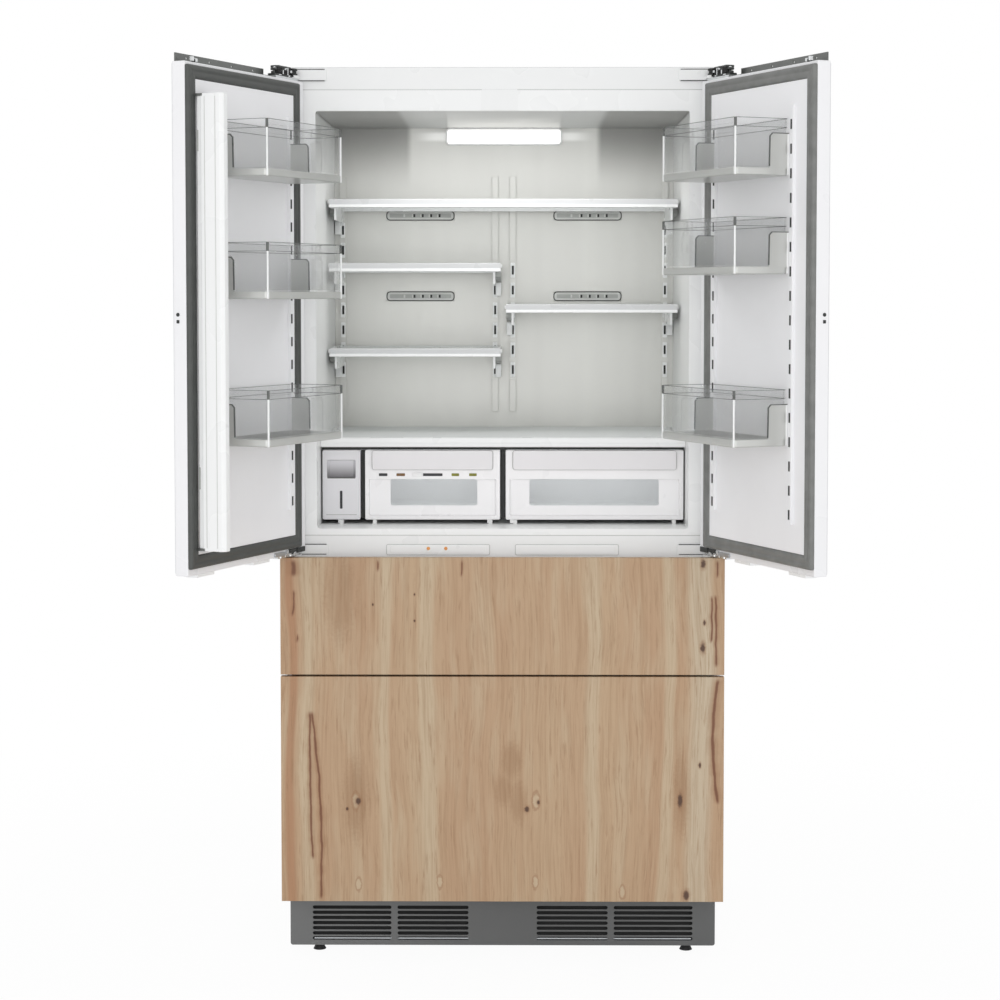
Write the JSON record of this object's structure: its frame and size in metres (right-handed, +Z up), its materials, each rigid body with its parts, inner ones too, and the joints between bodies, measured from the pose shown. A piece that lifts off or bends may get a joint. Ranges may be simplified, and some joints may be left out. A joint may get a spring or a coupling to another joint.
{
  "type": "built-in refrigerator",
  "caption": "Tall built-in refrigerator with hinged upper doors, folding mullion, glass shelves, crispers, wood-fronted freezer drawers and a slotted toe grille.",
  "frame": {"origin": "on the floor at the middle of the footprint with both doors open", "axes": "+X to the viewer's right, +Y into the cabinet, +Z up"},
  "size_m": [1.2202, 0.9857, 1.838],
  "materials": {
    "case_paint": "satin painted sheet steel",
    "foam": "rigid insulation foam",
    "frame_white": "satin white enamel",
    "liner_white": "white vacuum-formed plastic",
    "duct_grey": "light grey moulded plastic",
    "vent_grey": "grey moulded plastic",
    "lamp_white": "milky diffuser",
    "shelf_white": "satin white coating",
    "clear_glass": "toughened clear glass",
    "clear_bin": "clear moulded plastic",
    "crisper_white": "white moulded plastic",
    "tank_white": "white moulded plastic",
    "slider_white": "white moulded plastic",
    "gasket_grey": "soft grey magnetic seal",
    "bracket_steel": "zinc-plated steel",
    "oak_wood": "lacquered pale veneer",
    "grille_grey": "grey powder coat",
    "foot_black": "black moulded plastic",
    "pan_zinc": "galvanised sheet",
    "compressor_black": "black paint",
    "fin_aluminium": "bare fins",
    "fan_black": "black moulded plastic",
    "basket_white": "white moulded plastic"
  },
  "bodies": {
    "cabinet": {"outer_case": "case_paint", "insulation": "foam", "face_frame": "frame_white", "fridge_liner": "liner_white", "freezer_liner": "liner_white", "duct_panel": "duct_grey", "air_vents": "vent_grey", "lamp_lens": "lamp_white", "shelf_ladders": "shelf_white", "top_shelf": "shelf_white", "left_shelves": "shelf_white", "right_shelf": "shelf_white", "crisper_cover": "shelf_white", "shelf_glass": "clear_glass", "rail_covers": "frame_white", "hinge_brackets": "bracket_steel", "drawer_rails": "bracket_steel", "base_pan": "pan_zinc", "toe_grille": "grille_grey", "feet": "foot_black", "compressor": "compressor_black", "condenser": "fin_aluminium", "fan_motors": "fan_black", "evaporator": "fin_aluminium", "evaporator_cover": "liner_white", "rear_cover": "pan_zinc"},
    "left_door": {"left_door_panel": "frame_white", "left_door_liner": "liner_white", "left_gasket": "gasket_grey", "left_panel_brackets": "bracket_steel", "left_hinge_arms": "bracket_steel", "left_top_bin": "clear_bin", "left_middle_bin": "clear_bin", "left_bottom_bin": "clear_bin", "mullion_arms": "bracket_steel"},
    "right_door": {"right_door_panel": "frame_white", "right_door_liner": "liner_white", "right_gasket": "gasket_grey", "right_panel_brackets": "bracket_steel", "right_hinge_arms": "bracket_steel", "right_top_bin": "clear_bin", "right_middle_bin": "clear_bin", "right_bottom_bin": "clear_bin"},
    "mullion": {"mullion_flap": "frame_white"},
    "upper_drawer": {"upper_drawer_panel": "oak_wood", "upper_drawer_door": "frame_white", "upper_drawer_gasket": "gasket_grey", "upper_basket": "basket_white", "upper_drawer_slides": "bracket_steel"},
    "lower_drawer": {"lower_drawer_panel": "oak_wood", "lower_drawer_door": "frame_white", "lower_drawer_gasket": "gasket_grey", "lower_basket": "basket_white", "lower_drawer_slides": "bracket_steel"},
    "left_crisper": {"left_crisper": "crisper_white"},
    "right_crisper": {"right_crisper": "crisper_white"},
    "humidity_slider": {"humidity_slider": "slider_white"},
    "water_tank": {"water_tank": "tank_white"},
    "condenser_fan": {"condenser_fan": "fan_black"},
    "evaporator_fan": {"evaporator_fan": "fan_black"}
  },
  "joints": [
    {"name": "left_door_hinge", "type": "hinge", "parent": "cabinet", "child": "left_door", "pos_m": [-0.427, -0.082, 1.327], "axis": [0, 0, -1], "range_deg": [-114, 0]},
    {"name": "right_door_hinge", "type": "hinge", "parent": "cabinet", "child": "right_door", "pos_m": [0.427, -0.082, 1.327], "axis": [0, 0, 1], "range_deg": [-114, 0]},
    {"name": "mullion_fold", "type": "hinge", "parent": "left_door", "child": "mullion", "pos_m": [-0.55777, -0.46054, 1.327], "axis": [0, 0, 1], "range_deg": [-90, 0]},
    {"name": "upper_drawer_slide", "type": "slide", "parent": "cabinet", "child": "upper_drawer", "axis": [0, -1, 0], "range_m": [0, 0.3]},
    {"name": "lower_drawer_slide", "type": "slide", "parent": "cabinet", "child": "lower_drawer", "axis": [0, -1, 0], "range_m": [0, 0.3]},
    {"name": "left_crisper_slide", "type": "slide", "parent": "cabinet", "child": "left_crisper", "axis": [0, -1, 0], "range_m": [0, 0.23]},
    {"name": "right_crisper_slide", "type": "slide", "parent": "cabinet", "child": "right_crisper", "axis": [0, -1, 0], "range_m": [0, 0.23]},
    {"name": "water_tank_slide", "type": "slide", "parent": "cabinet", "child": "water_tank", "axis": [0, -1, 0], "range_m": [0, 0.2]},
    {"name": "humidity_slide", "type": "slide", "parent": "left_crisper", "child": "humidity_slider", "axis": [1, 0, 0], "range_m": [0, 0.042]},
    {"name": "condenser_fan_spin", "type": "hinge", "parent": "cabinet", "child": "condenser_fan", "pos_m": [-0.02, 0.4, 0.11], "axis": [1, 0, 0], "continuous": true},
    {"name": "evaporator_fan_spin", "type": "hinge", "parent": "cabinet", "child": "evaporator_fan", "pos_m": [0, 0.3917, 0.745], "axis": [0, 1, 0], "continuous": true}
  ]
}
